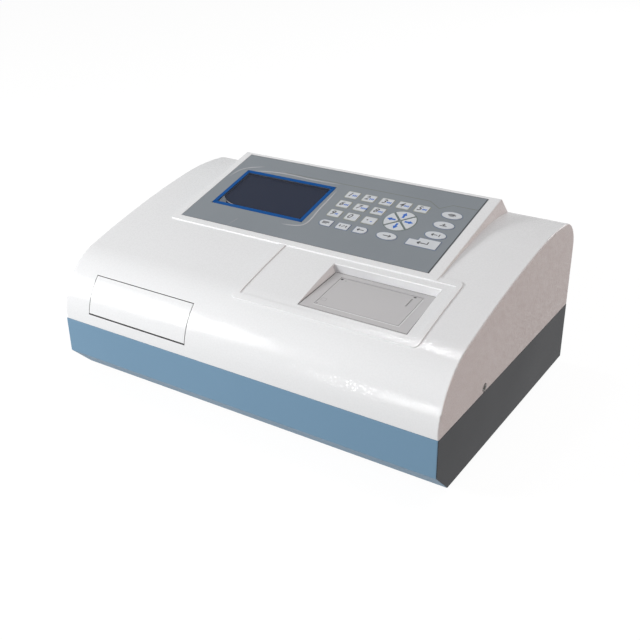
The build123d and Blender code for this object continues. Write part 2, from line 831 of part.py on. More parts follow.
def power_supply():
    box_x0, box_x1, box_y0, box_y1 = 152, 214, 150, 264
    can = box(box_x0, box_x1, box_y0, box_y1, base_floor + sheet, 62)
    hollow = box(box_x0 + 1.5, box_x1 - 1.5, box_y0 + 1.5, box_y1 - 1.5, base_floor + sheet + 1.5, 60.5)
    can -= hollow
    for k in range(8):
        x = box_x0 + 12 + 9 * k
        can -= box(x, x + 4, box_y0 + 14, box_y1 - 14, 60, 63)
    return can + box(box_x0 + 20, box_x1 - 20, box_y0 + 20, box_y1 - 20, base_floor + sheet + 1.5, 48)


def rear_panel():
    plate = box(rear_left - 8, rear_right + 6, rear_y - sheet, rear_y, rear_low - 4, seam_z - sheet - 0.1)
    plate -= box(switch_x - 11, inlet_x + 13.6, rear_y - 5, rear_y + 1, rear_mid - 10, rear_mid + 10)
    plate -= box(port_x - 10, port_x + 10, rear_y - 5, rear_y + 1, rear_mid - 5.2, rear_mid + 5.2)
    for ring in range(4):
        r0, r1 = 5 + 5 * ring, 8.2 + 5 * ring
        band = rod_y(fan_x, rear_y - 4, rear_y + 1, rear_mid, r1)
        band -= rod_y(fan_x, rear_y - 5, rear_y + 2, rear_mid, r0)
        for turn in (45, 135):
            band -= Pos(fan_x, rear_y, rear_mid) * Rot(0, turn, 0) * Box(60, 20, 3)
        plate -= band
    return plate


def fan_frame():
    y0, y1 = rear_y - sheet - fan_deep, rear_y - sheet
    half = fan_size / 2
    frame = box(fan_x - half, fan_x + half, y0, y1, rear_mid - half, rear_mid + half)
    frame = fillet(frame.edges().filter_by(Axis.Y), 3)
    frame -= rod_y(fan_x, y0 - 1, y1 + 1, rear_mid, fan_bore)
    spokes = box(fan_x - 1.5, fan_x + 1.5, y0, y0 + 2, rear_mid - fan_bore - 0.5, rear_mid + fan_bore + 0.5)
    spokes += box(fan_x - fan_bore - 0.5, fan_x + fan_bore + 0.5, y0, y0 + 2, rear_mid - 1.5, rear_mid + 1.5)
    frame += spokes + rod_y(fan_x, y0, y0 + 2, rear_mid, 9) + rod_y(fan_x, y0 + 2, y0 + 8, rear_mid, 1.5)
    for dx in (-20, 20):
        for dz in (-20, 20):
            frame -= rod_y(fan_x + dx, y0 - 1, y1 + 1, rear_mid + dz, 2.1)
    return frame


def fan_rotor():
    y0, y1 = rear_y - sheet - fan_deep + 2.6, rear_y - sheet - 1.2
    hub = rod_y(fan_x, y0, y1, rear_mid, 9.5)
    blade = Pos(15.6, 0, 0) * Rot(38, 0, 0) * Box(13.4, 1.2, 10.5)
    for k in range(7):
        hub += Pos(fan_x, (y0 + y1) / 2, rear_mid) * Rot(0, 360 * k / 7, 0) * blade
    return hub - rod_y(fan_x, y0 - 1, y0 + 6.2, rear_mid, 1.5 + running_gap)


def power_inlet():
    """mains entry module: a three-pin inlet beside the switch's well, on one flange"""
    flange_x0, flange_x1 = switch_x - 13, inlet_x + 15.5
    low, high = rear_mid - 12, rear_mid + 12
    body = box(flange_x0, flange_x1, rear_y, rear_y + 2.2, low, high)
    body += box(inlet_x - 13.4, inlet_x + 13.4, rear_y - 22, rear_y, rear_mid - 9.8, rear_mid + 9.8)
    body += box(switch_x - 10.8, switch_x + 10.8, rear_y - 16, rear_y, rear_mid - 8, rear_mid + 8)
    body -= box(inlet_x - 11.8, inlet_x + 11.8, rear_y - 15, rear_y + 3, rear_mid - 8, rear_mid + 8)
    body -= box(switch_x - 8.4, switch_x + 8.4, rear_y - 9, rear_y + 3, rear_mid - 5.4, rear_mid + 5.4)
    body -= rod_z_up(switch_x, rear_y - 3, rear_mid - 6.4, rear_mid + 6.4, 1.0 + running_gap)
    for dx, dz in ((-7, -2), (7, -2), (0, 2.5)):
        x, z = inlet_x + dx, rear_mid + dz
        body += box(x - 1, x + 1, rear_y - 16, rear_y - 3, z - 2.4, z + 2.4)
    return body


def power_switch():
    """rocker on an upright pin, tipped to its off side"""
    rocker = box(-7.6, 7.6, -2.2, 4.4, -5.0, 5.0)
    dish = Pos(0, 16.2, 0) * Cylinder(12.6, 12)
    rocker = rocker - dish + Cylinder(1.0, 12.2)
    return Pos(switch_x, rear_y - 3, rear_mid) * Rot(0, 0, rocker_off) * rocker


def data_port():
    shell = box(port_x - 15.4, port_x + 15.4, rear_y, rear_y + 0.8, rear_mid - 6.2, rear_mid + 6.2)
    shell += box(port_x - 9.8, port_x + 9.8, rear_y - 10, rear_y, rear_mid - 5, rear_mid + 5)
    nose = Pos(port_x, rear_y, rear_mid) * Rot(-90, 0, 0) * d_shape(8.6, 4.2, 4.6)
    shell += nose
    for dx in (-12.5, 12.5):
        nut = Pos(port_x + dx, rear_y, rear_mid) * Rot(-90, 0, 0) * extrude(RegularPolygon(2.6, 6), 5.1)
        shell += nut
    return shell


def d_shape(half_long, half_tall, height):
    """the tapered shell of a nine-way data connector, open at its end"""
    narrow = half_long - 1.2
    corners = [(-half_long, -half_tall), (half_long, -half_tall), (narrow, half_tall), (-narrow, half_tall)]
    outline = make_face(Polyline(*corners, close=True))
    cup = extrude(outline, height)
    return cup - Pos(0, 0, 1) * extrude(offset(outline, amount=-0.6), height)


def write(node, shape):
    export_step(Pos(0, place_y, 0) * shape, f"parts/{node}.step")


def main():
    os.makedirs("parts", exist_ok=True)
    nodes = {
        "base_tray": base_tray,
        "upper_housing": upper_housing,
        "feet": feet,
        "case_screws": case_screws,
        "control_panel": control_panel,
        "screen_window": screen_window,
        "screen_border": screen_border,
        "lcd_module": lcd_module,
        "keypad_board": keypad_board,
        "printer_frame": printer_frame,
        "printer_lid": printer_lid,
        "platen_roller": platen_roller,
        "paper_roll": paper_roll,
        "print_head": print_head,
        "plate_door": plate_door,
        "plate_carriage": plate_carriage,
        "guide_rods": guide_rods,
        "carriage_belt": carriage_belt,
        "carriage_pulley": carriage_pulley,
        "carriage_idler": carriage_idler,
        "carriage_motor": carriage_motor,
        "transport_deck": transport_deck,
        "scan_screw": scan_screw,
        "scan_motor": scan_motor,
        "optics_head": optics_head,
        "filter_wheel": filter_wheel,
        "optical_filters": optical_filters,
        "filter_motor": filter_motor,
        "lamp_housing": lamp_housing,
        "main_board": main_board,
        "power_supply": power_supply,
        "rear_panel": rear_panel,
        "fan_frame": fan_frame,
        "fan_rotor": fan_rotor,
        "power_inlet": power_inlet,
        "power_switch": power_switch,
        "data_port": data_port,
    }
    for node, make in nodes.items():
        write(node, make())
    for node, shape in keys().items():
        write(node, shape)


main()
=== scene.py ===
import json
import math
import random
import bpy
from mathutils import Matrix, Vector

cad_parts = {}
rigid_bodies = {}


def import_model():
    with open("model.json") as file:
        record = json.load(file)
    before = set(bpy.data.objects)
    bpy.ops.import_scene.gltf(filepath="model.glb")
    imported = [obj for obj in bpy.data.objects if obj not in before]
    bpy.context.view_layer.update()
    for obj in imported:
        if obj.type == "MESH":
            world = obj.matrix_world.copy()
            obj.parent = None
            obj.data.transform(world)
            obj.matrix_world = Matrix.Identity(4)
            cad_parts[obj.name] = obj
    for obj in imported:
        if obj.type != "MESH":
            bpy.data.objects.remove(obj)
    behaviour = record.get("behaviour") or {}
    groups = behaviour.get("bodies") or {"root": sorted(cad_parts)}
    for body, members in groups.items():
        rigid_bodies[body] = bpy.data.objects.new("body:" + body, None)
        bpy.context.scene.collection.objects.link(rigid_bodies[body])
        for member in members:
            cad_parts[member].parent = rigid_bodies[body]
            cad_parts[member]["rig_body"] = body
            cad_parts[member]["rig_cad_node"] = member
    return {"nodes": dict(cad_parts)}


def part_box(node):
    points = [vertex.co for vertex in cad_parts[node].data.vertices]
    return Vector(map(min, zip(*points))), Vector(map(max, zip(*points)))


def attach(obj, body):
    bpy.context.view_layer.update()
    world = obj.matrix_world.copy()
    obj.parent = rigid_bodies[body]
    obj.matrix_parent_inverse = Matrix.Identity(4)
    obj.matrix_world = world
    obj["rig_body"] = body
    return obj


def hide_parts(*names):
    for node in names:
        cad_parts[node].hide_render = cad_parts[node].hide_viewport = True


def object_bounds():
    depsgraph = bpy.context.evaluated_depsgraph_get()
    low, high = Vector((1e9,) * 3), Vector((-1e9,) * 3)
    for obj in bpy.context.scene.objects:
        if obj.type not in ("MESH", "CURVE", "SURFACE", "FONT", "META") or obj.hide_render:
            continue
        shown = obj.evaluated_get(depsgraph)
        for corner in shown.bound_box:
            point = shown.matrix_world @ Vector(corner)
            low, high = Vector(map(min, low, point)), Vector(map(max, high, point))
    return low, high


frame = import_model()
nodes = frame["nodes"]
cadLow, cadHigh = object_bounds()
mm = 0.001


# camera, lights and stage

camera = {
    "place": (0.51377, -0.78753, 0.54730),
    "turn": (62.210, 1.353, 33.888),  # degrees
    "lens": 53.93,
    "sensor": 36,
    "shift": (0.0374, 0.0127),
}

lamps = {  # place, size, watts, colour
    "key": ((-1.6, -1.6, 0.86), (0.8, 0.8), 39, (1.0, 1.0, 1.0)),
    "fill": ((0.5, -2.4, 0.7), (1.6, 1.2), 11, (1.0, 1.0, 1.0)),
    "top": ((0.9, 0.2, 1.9), (1.4, 1.4), 5.5, (0.98, 0.99, 1.0)),
    "back": ((0.5, 2.3, 1.0), (1.2, 1.2), 16, (1.0, 1.0, 1.0)),
    "stripHigh": ((-0.52, 0.12, 1.95), (0.05, 0.3), 4.6, (1.0, 1.0, 1.0)),
    "stripLow": ((-0.54, -1.95, 0.26), (0.28, 0.05), 4.6, (1.0, 1.0, 1.0)),
    "side": ((2.4, -0.1, 0.42), (0.7, 0.7), 6.6, (1.0, 0.44, 0.28)),
}

studio = {
    "ambient": 0.22,
    "ambientColour": (1.0, 0.975, 0.965),
    "floorSeen": 0.95,
    "floorBounce": 0.28,  # the floor's albedo for the light that it throws back
    "shadowShare": 0.10,  # how much of the object's shadow shows on the white floor
    "whiteGlow": 1.05,
    "aim": (0, 0, 0.08),  # where every lamp points
    "floorSize": 14,
    "floorTop": -0.0002,
}


def addCamera():
    data = bpy.data.cameras.new("camera")
    data.lens = camera["lens"]
    data.sensor_width = camera["sensor"]
    data.shift_x, data.shift_y = camera["shift"]
    obj = bpy.data.objects.new("camera", data)
    obj.location = camera["place"]
    obj.rotation_euler = [math.radians(a) for a in camera["turn"]]
    bpy.context.scene.collection.objects.link(obj)
    bpy.context.scene.camera = obj


def addLamp(name, place, size, watts, colour):
    data = bpy.data.lights.new(name, "AREA")
    data.shape = "ELLIPSE"
    data.size, data.size_y = size
    data.energy = watts
    data.color = colour
    obj = bpy.data.objects.new(name, data)
    obj.location = place
    aim = Vector(studio["aim"]) - Vector(place)
    obj.rotation_euler = aim.to_track_quat("-Z", "Y").to_euler()
    bpy.context.scene.collection.objects.link(obj)


def seenRays(tree):
    path = tree.nodes.new("ShaderNodeLightPath")
    seen = path.outputs["Is Camera Ray"]
    for ray in ("Is Glossy Ray", "Is Transmission Ray"):
        either = tree.nodes.new("ShaderNodeMath")
        either.operation = "MAXIMUM"
        tree.links.new(seen, either.inputs[0])
        tree.links.new(path.outputs[ray], either.inputs[1])
        seen = either.outputs[0]
    return seen


def addWorld():
    world = bpy.data.worlds.new("studio")
    bpy.context.scene.world = world
    world.use_nodes = True
    tree = world.node_tree
    tree.nodes.clear()
    out = tree.nodes.new("ShaderNodeOutputWorld")
    soft = tree.nodes.new("ShaderNodeBackground")
    soft.inputs["Color"].default_value = (*studio["ambientColour"], 1)
    soft.inputs["Strength"].default_value = studio["ambient"]
    white = tree.nodes.new("ShaderNodeBackground")
    white.inputs["Color"].default_value = (1, 1, 1, 1)
    white.inputs["Strength"].default_value = 1.0
    mix = tree.nodes.new("ShaderNodeMixShader")
    tree.links.new(seenRays(tree), mix.inputs[0])
    tree.links.new(soft.outputs[0], mix.inputs[1])
    tree.links.new(white.outputs[0], mix.inputs[2])
    tree.links.new(mix.outputs[0], out.inputs["Surface"])


def addFloor():
    deselectAll()
    place = (0, 0, studio["floorTop"])
    bpy.ops.mesh.primitive_plane_add(size=studio["floorSize"], location=place)
    floor = bpy.context.object
    floor.name = "floor"
    mat = bpy.data.materials.new("floor_white")
    mat.use_nodes = True
    tree = mat.node_tree
    tree.nodes.clear()
    out = tree.nodes.new("ShaderNodeOutputMaterial")
    seen = seenRays(tree)
    bright = tree.nodes.new("ShaderNodeMix")
    bright.data_type = "RGBA"
    bright.inputs["A"].default_value = (*[studio["floorBounce"]] * 3, 1)
    bright.inputs["B"].default_value = (*[studio["floorSeen"]] * 3, 1)
    tree.links.new(seen, bright.inputs["Factor"])
    matt = tree.nodes.new("ShaderNodeBsdfDiffuse")
    tree.links.new(bright.outputs["Result"], matt.inputs["Color"])
    glow = tree.nodes.new("ShaderNodeEmission")
    glow.inputs["Color"].default_value = (1, 1, 1, 1)
    glow.inputs["Strength"].default_value = studio["whiteGlow"]
    share = tree.nodes.new("ShaderNodeMath")
    share.operation = "MULTIPLY"
    share.inputs[1].default_value = 1 - studio["shadowShare"]
    tree.links.new(seen, share.inputs[0])
    mix = tree.nodes.new("ShaderNodeMixShader")
    tree.links.new(share.outputs[0], mix.inputs[0])
    tree.links.new(matt.outputs[0], mix.inputs[1])
    tree.links.new(glow.outputs[0], mix.inputs[2])
    tree.links.new(mix.outputs[0], out.inputs["Surface"])
    floor.data.materials.append(mat)


def deselectAll():
    if bpy.context.object and bpy.context.object.mode != "OBJECT":
        bpy.ops.object.mode_set(mode="OBJECT")
    bpy.ops.object.select_all(action="DESELECT")


# finishes

plain = {  # what a finish has where it says nothing else
    "stretch": (1, 1, 1), "cloud": 9, "bump": 0.5, "metal": 0.0, "coat": 0.0, "coatRough": 0.1,
    "alpha": 1.0, "specular": 0.5,
}

lacquer = {
    "grain": 620, "depth": 0.0001, "coat": 0.9, "coatDepth": 0.0004, "specular": 0.0,
    "patches": (0.42, 0.60), "thinCoat": 0.4,  # where the coat thins, and to what share
}

finishes = {
    "housingWhite": {
        "colour": (0.80, 0.81, 0.82), "other": (0.77, 0.78, 0.79), "rough": (0.26, 0.36), **lacquer,
        # painted shade: the recess's rear wall is drawn darker inside this box, where it lies in
        # shade
        "inner": {  # a box in millimetres round the recess's rear wall
            "middle": (109, -46.7, 154.0), "half": (58.5, 1.9, 3.5), "colour": (0.55, 0.555, 0.57),
        },
    },
    "doorWhite": {
        "colour": (0.80, 0.81, 0.82), "other": (0.78, 0.79, 0.80), "rough": (0.26, 0.34), **lacquer,
    },
    "basePaint": {
        "colour": (0.172, 0.296, 0.418), "other": (0.162, 0.280, 0.400), "rough": (0.42, 0.52),
        # sides: painted shade, the base's outer sides drawn darker to stand for the shade on them
        "grain": 1500, "depth": 0.00006, "specular": 0.22, "sides": (0.016, 0.019, 0.024),
    },
    "panelGrey": {
        "colour": (0.240, 0.265, 0.288), "other": (0.190, 0.216, 0.239), "rough": (0.34, 0.46),
        "grain": 2600, "depth": 0.00003, "specular": 0.25,
    },
    "keyWhite": {
        "colour": (0.60, 0.625, 0.655), "other": (0.56, 0.585, 0.615), "rough": (0.35, 0.45),
        "grain": 1800, "depth": 0.00003,
    },
    "screenGlass": {
        "colour": (0.030, 0.038, 0.065), "other": (0.034, 0.042, 0.070), "rough": (0.12, 0.18),
        "grain": 60, "depth": 0.00001, "alpha": 0.5, "specular": 0.06,
    },
    "screenDark": {
        "colour": (0.046, 0.076, 0.180), "other": (0.042, 0.070, 0.168), "rough": (0.4, 0.5),
        "grain": 900, "depth": 0.00001,
    },
    "borderBlue": {
        "colour": (0.001, 0.062, 0.240), "other": (0.002, 0.084, 0.310), "rough": (0.5, 0.65),
        "grain": 700, "depth": 0.00004, "specular": 0.1,
    },
    "printerGrey": {
        "colour": (0.535, 0.528, 0.535), "other": (0.505, 0.498, 0.505), "rough": (0.45, 0.55),
        "grain": 1900, "depth": 0.00004,
    },
    "rubberBlack": {
        "colour": (0.022, 0.022, 0.023), "other": (0.035, 0.034, 0.034), "rough": (0.7, 0.85),
        "grain": 1400, "depth": 0.00008,
    },
    "boardGreen": {
        "colour": (0.020, 0.130, 0.055), "other": (0.030, 0.170, 0.070), "rough": (0.35, 0.5),
        "grain": 500, "depth": 0.00004,
    },
    "paperWhite": {
        "colour": (0.86, 0.86, 0.84), "other": (0.80, 0.80, 0.78), "rough": (0.75, 0.85),
        "grain": 900, "depth": 0.00004, "stretch": (14, 1, 1),
    },
    "machined": {
        "colour": (0.62, 0.63, 0.64), "other": (0.50, 0.51, 0.53), "rough": (0.28, 0.42),
        "grain": 700, "depth": 0.00003, "metal": 1.0, "stretch": (1, 8, 8),
    },
    "groundSteel": {
        "colour": (0.66, 0.67, 0.69), "other": (0.56, 0.57, 0.60), "rough": (0.18, 0.28),
        "grain": 900, "depth": 0.00001, "metal": 1.0, "stretch": (10, 1, 10),
    },
    "zincPlate": {
        "colour": (0.55, 0.56, 0.56), "other": (0.42, 0.44, 0.46), "rough": (0.32, 0.5),
        "grain": 60, "depth": 0.00002, "metal": 1.0,
    },
    "trayBlack": {
        "colour": (0.030, 0.030, 0.033), "other": (0.040, 0.040, 0.044), "rough": (0.38, 0.5),
        "grain": 1600, "depth": 0.00005,
    },
    "motorBlack": {
        "colour": (0.025, 0.025, 0.027), "other": (0.04, 0.04, 0.042), "rough": (0.4, 0.55),
        "grain": 1100, "depth": 0.00005,
    },
    "filterGlass": {
        "colour": (0.20, 0.30, 0.62), "other": (0.30, 0.24, 0.60), "rough": (0.05, 0.1),
        "grain": 40, "depth": 0.00001, "coat": 0.6,
    },
    "plasticBlack": {
        "colour": (0.020, 0.020, 0.021), "other": (0.030, 0.030, 0.032), "rough": (0.38, 0.5),
        "grain": 1300, "depth": 0.00005,
    },
    "switchBlack": {
        "colour": (0.016, 0.016, 0.017), "other": (0.022, 0.022, 0.024), "rough": (0.2, 0.3),
        "grain": 900, "depth": 0.00002,
    },
    "plated": {
        "colour": (0.66, 0.65, 0.62), "other": (0.56, 0.55, 0.53), "rough": (0.16, 0.3),
        "grain": 500, "depth": 0.00002, "metal": 1.0,
    },
    # pale film folds: the folds and the film's edge are real, but their pale colour is a painted
    # highlight for the light they catch
    "filmFoldSheen": {
        "colour": (0.62, 0.63, 0.66), "other": (0.52, 0.53, 0.57), "rough": (0.12, 0.2),
        "grain": 300, "depth": 0.00002, "alpha": 0.65,
    },
    "filmPatch": {
        "colour": (0.13, 0.145, 0.165), "other": (0.19, 0.205, 0.225), "rough": (0.3, 0.45),
        "grain": 300, "depth": 0.00002, "alpha": 0.85, "specular": 0.2,
    },
    "gapShadeGrey": {
        "colour": (0.12, 0.118, 0.12), "other": (0.10, 0.098, 0.10), "rough": (0.5, 0.6),
        "grain": 1800, "depth": 0.00001, "specular": 0.1,
    },
    "screwDark": {
        "colour": (0.15, 0.14, 0.13), "other": (0.09, 0.085, 0.08), "rough": (0.28, 0.42),
        "grain": 900, "depth": 0.00003, "metal": 1.0,
    },
}

ink = {"rough": (0.4, 0.5), "grain": 1800, "depth": 0.00001}

inkColours = {  # a print's two colours
    "inkBlack": ((0.018, 0.018, 0.022), (0.025, 0.025, 0.03)),
    "inkBlue": ((0.006, 0.11, 0.48), (0.01, 0.13, 0.54)),
    "inkOlive": ((0.30, 0.31, 0.22), (0.34, 0.35, 0.26)),
    "inkOliveDark": ((0.115, 0.125, 0.095), (0.13, 0.14, 0.11)),
    "inkGreen": ((0.10, 0.15, 0.13), (0.12, 0.17, 0.15)),
    "inkBlueGrey": ((0.07, 0.12, 0.24), (0.09, 0.14, 0.27)),
    "lidGrey": ((0.36, 0.35, 0.36), (0.32, 0.31, 0.32)),
}

for name, (colour, other) in inkColours.items():
    finishes[name] = {"colour": colour, "other": other, **ink}


def makeFinish(name, given):
    spec = {**plain, **given}
    mat = bpy.data.materials.new(name)
    mat.use_nodes = True
    tree = mat.node_tree
    shader = tree.nodes["Principled BSDF"]
    where = tree.nodes.new("ShaderNodeTexCoord")
    mapping = tree.nodes.new("ShaderNodeMapping")
    mapping.inputs["Scale"].default_value = spec["stretch"]
    tree.links.new(where.outputs["Object"], mapping.inputs["Vector"])
    cloud = tree.nodes.new("ShaderNodeTexNoise")
    cloud.inputs["Scale"].default_value = spec["cloud"]
    cloud.inputs["Detail"].default_value = 4
    tree.links.new(mapping.outputs["Vector"], cloud.inputs["Vector"])
    tint = tree.nodes.new("ShaderNodeMix")
    tint.data_type = "RGBA"
    tint.inputs["A"].default_value = (*spec["colour"], 1)
    tint.inputs["B"].default_value = (*spec["other"], 1)
    tree.links.new(cloud.outputs["Fac"], tint.inputs["Factor"])
    tree.links.new(tint.outputs["Result"], shader.inputs["Base Color"])
    grain = tree.nodes.new("ShaderNodeTexNoise")
    grain.inputs["Scale"].default_value = spec["grain"]
    grain.inputs["Detail"].default_value = 2
    tree.links.new(mapping.outputs["Vector"], grain.inputs["Vector"])
    gloss = tree.nodes.new("ShaderNodeMapRange")
    gloss.inputs["To Min"].default_value = spec["rough"][0]
    gloss.inputs["To Max"].default_value = spec["rough"][1]
    tree.links.new(cloud.outputs["Fac"], gloss.inputs["Value"])
    tree.links.new(gloss.outputs["Result"], shader.inputs["Roughness"])
    bump = tree.nodes.new("ShaderNodeBump")
    bump.inputs["Strength"].default_value = spec["bump"]
    bump.inputs["Distance"].default_value = spec["depth"]
    tree.links.new(grain.outputs["Fac"], bump.inputs["Height"])
    tree.links.new(bump.outputs["Normal"], shader.inputs["Normal"])
    if "coatDepth" in spec:
        peel = tree.nodes.new("ShaderNodeBump")
        peel.inputs["Strength"].default_value = spec["bump"]
        peel.inputs["Distance"].default_value = spec["coatDepth"]
        tree.links.new(grain.outputs["Fac"], peel.inputs["Height"])
        tree.links.new(peel.outputs["Normal"], shader.inputs["Coat Normal"])
        patches = tree.nodes.new("ShaderNodeMapRange")
        patches.inputs["From Min"].default_value = spec["patches"][0]
        patches.inputs["From Max"].default_value = spec["patches"][1]
        patches.inputs["To Min"].default_value = spec["coat"] * spec["thinCoat"]
        patches.inputs["To Max"].default_value = spec["coat"]
        tree.links.new(grain.outputs["Fac"], patches.inputs["Value"])
        tree.links.new(patches.outputs["Result"], shader.inputs["Coat Weight"])
    shader.inputs["Metallic"].default_value = spec["metal"]
    shader.inputs["Coat Weight"].default_value = spec["coat"]
    shader.inputs["Coat Roughness"].default_value = spec["coatRough"]
    shader.inputs["Alpha"].default_value = spec["alpha"]
    shader.inputs["Specular IOR Level"].default_value = spec["specular"]
    if "sides" in spec:
        paintSideShade(tree, where, tint, spec["sides"])
    if "inner" in spec:
        paintWellShade(tree, where, tint, spec["inner"])
    return mat


# painted shade: a darker second colour inside a box, where the recess's rear wall is in shade
def paintWellShade(tree, where, tint, inner):
    fromMiddle = tree.nodes.new("ShaderNodeVectorMath")
    fromMiddle.operation = "SUBTRACT"
    fromMiddle.inputs[1].default_value = [a * mm for a in inner["middle"]]
    tree.links.new(where.outputs["Object"], fromMiddle.inputs[0])
    share = tree.nodes.new("ShaderNodeVectorMath")
    share.operation = "DIVIDE"
    share.inputs[1].default_value = [a * mm for a in inner["half"]]
    tree.links.new(fromMiddle.outputs[0], share.inputs[0])
    size = tree.nodes.new("ShaderNodeVectorMath")
    size.operation = "ABSOLUTE"
    tree.links.new(share.outputs[0], size.inputs[0])
    split = tree.nodes.new("ShaderNodeSeparateXYZ")
    tree.links.new(size.outputs[0], split.inputs[0])
    most = split.outputs["X"]
    for axis in ("Y", "Z"):
        larger = tree.nodes.new("ShaderNodeMath")
        larger.operation = "MAXIMUM"
        tree.links.new(most, larger.inputs[0])
        tree.links.new(split.outputs[axis], larger.inputs[1])
        most = larger.outputs[0]
    inside = tree.nodes.new("ShaderNodeMath")
    inside.operation = "LESS_THAN"
    inside.inputs[1].default_value = 1.0
    tree.links.new(most, inside.inputs[0])
    paint = tree.nodes.new("ShaderNodeMix")
    paint.data_type = "RGBA"
    paint.inputs["B"].default_value = (*inner["colour"], 1)
    tree.links.new(inside.outputs[0], paint.inputs["Factor"])
    tree.links.new(tint.outputs["Result"], paint.inputs["A"])
    tree.links.new(paint.outputs["Result"], tree.nodes["Principled BSDF"].inputs["Base Color"])


# painted shade: a darker second colour on the two outer sides, standing in for the shade on them
def paintSideShade(tree, where, tint, colour):
    split = tree.nodes.new("ShaderNodeSeparateXYZ")
    tree.links.new(where.outputs["Object"], split.inputs["Vector"])
    reach = tree.nodes.new("ShaderNodeMath")
    reach.operation = "ABSOLUTE"
    tree.links.new(split.outputs["X"], reach.inputs[0])
    outer = tree.nodes.new("ShaderNodeMath")
    outer.operation = "GREATER_THAN"
    outer.inputs[1].default_value = cadHigh[0] - sideSkin * mm
    tree.links.new(reach.outputs[0], outer.inputs[0])
    side = tree.nodes.new("ShaderNodeMix")
    side.data_type = "RGBA"
    side.inputs["B"].default_value = (*colour, 1)
    tree.links.new(outer.outputs[0], side.inputs["Factor"])
    tree.links.new(tint.outputs["Result"], side.inputs["A"])
    tree.links.new(side.outputs["Result"], tree.nodes["Principled BSDF"].inputs["Base Color"])


sideSkin = 0.3  # millimetres in from the widest point that still count as a side

nodeFinish = {
    "base_tray": "basePaint", "rear_panel": "basePaint", "upper_housing": "housingWhite",
    "plate_door": "doorWhite", "feet": "rubberBlack", "case_screws": "screwDark",
    "control_panel": "panelGrey", "screen_window": "screenGlass", "screen_border": "borderBlue",
    "lcd_module": "screenDark", "keypad_board": "boardGreen", "main_board": "boardGreen",
    "printer_frame": "printerGrey", "printer_lid": "printerGrey", "platen_roller": "rubberBlack",
    "paper_roll": "paperWhite", "print_head": "machined", "plate_carriage": "trayBlack",
    "guide_rods": "groundSteel", "carriage_belt": "rubberBlack", "carriage_pulley": "machined",
    "carriage_idler": "machined", "carriage_motor": "motorBlack", "transport_deck": "zincPlate",
    "scan_screw": "groundSteel", "scan_motor": "motorBlack", "optics_head": "trayBlack",
    "filter_wheel": "trayBlack", "optical_filters": "filterGlass", "filter_motor": "motorBlack",
    "lamp_housing": "machined", "power_supply": "zincPlate", "fan_frame": "plasticBlack",
    "fan_rotor": "plasticBlack", "power_inlet": "plasticBlack", "power_switch": "switchBlack",
    "data_port": "plated",
}


def dressNodes():
    for name, obj in nodes.items():
        finish = nodeFinish.get(name, "keyWhite")
        obj.data.materials.clear()
        obj.data.materials.append(finishOf(finish))


def finishOf(name):
    return bpy.data.materials.get(name) or makeFinish(name, finishes[name])


# helpers for thin printed pieces

planes = {
    "console": {"origin": (0, -0.0370, 0.1618), "slope": 0.238},
    "printer": {"origin": (0.109, -0.1125, 0.1414), "slope": 0.141},
}

heights = {  # over the plane, in millimetres
    "panel": -0.2,
    "key": 0.25,
    "lid": 0.0,
    "film": 0.05,
    "ink": 0.04,  # thickness of a printed mark
}


def planeMatrix(name):
    spec = planes[name]
    tilt = Matrix.Rotation(math.atan(spec["slope"]), 4, "X")
    return Matrix.Translation(spec["origin"]) @ tilt


def placeOn(obj, plane, x, s, lift):
    obj.matrix_world = planeMatrix(plane) @ Matrix.Translation((x * mm, s * mm, lift * mm))


def nodePlace(node, plane):
    low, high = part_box(node)
    local = planeMatrix(plane).inverted() @ ((low + high) / 2)
    return local.x / mm, local.y / mm


def only(obj):
    deselectAll()
    obj.select_set(True)
    bpy.context.view_layer.objects.active = obj


def applyPlace(obj):
    only(obj)
    bpy.ops.object.transform_apply(location=True, rotation=True, scale=True)


def joinAll(parts):
    deselectAll()
    for part in parts:
        part.select_set(True)
    bpy.context.view_layer.objects.active = parts[0]
    if len(parts) > 1:
        bpy.ops.object.join()
    return bpy.context.view_layer.objects.active


def addBar(x0, s0, x1, s1, width):
    deselectAll()
    bpy.ops.mesh.primitive_plane_add(size=1)
    bar = bpy.context.object
    length = math.hypot(x1 - x0, s1 - s0)
    bar.scale = (length * mm, width * mm, 1)
    bar.rotation_euler.z = math.atan2(s1 - s0, x1 - x0)
    bar.location = ((x0 + x1) / 2 * mm, (s0 + s1) / 2 * mm, 0)
    applyPlace(bar)
    return bar


def addDot(x, s, wide, tall, corners=24):
    deselectAll()
    bpy.ops.mesh.primitive_circle_add(vertices=corners, radius=0.5, fill_type="NGON")
    dot = bpy.context.object
    dot.scale = (wide * mm, tall * mm, 1)
    dot.location = (x * mm, s * mm, 0)
    applyPlace(dot)
    return dot


def addWord(word, size, x, s, slant, weight):
    deselectAll()
    bpy.ops.object.text_add()
    text = bpy.context.object
    text.data.body = word
    text.data.size = size * mm
    text.data.shear = slant
    text.data.offset = weight * mm
    text.data.align_x = "CENTER"
    text.data.align_y = "CENTER"
    bpy.ops.object.convert(target="MESH")
    text = bpy.context.object
    text.location = (x * mm, s * mm, 0)
    applyPlace(text)
    return text


def paintParts(parts, finish):
    for part in parts:
        part.data.materials.clear()
        part.data.materials.append(finishOf(finish))
    return parts


def thicken(obj, thick):
    only(obj)
    solid = obj.modifiers.new("thick", "SOLIDIFY")
    solid.thickness = thick * mm
    solid.offset = 1
    bpy.ops.object.modifier_apply(modifier="thick")


def finishPiece(obj, name, body):
    applyPlace(obj)
    obj.name = name
    obj.data.name = name
    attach(obj, body)


def layMark(obj, plane, lift, name, body):
    thicken(obj, heights["ink"])
    placeOn(obj, plane, 0, 0, lift)
    finishPiece(obj, name, body)


# legends on the keys

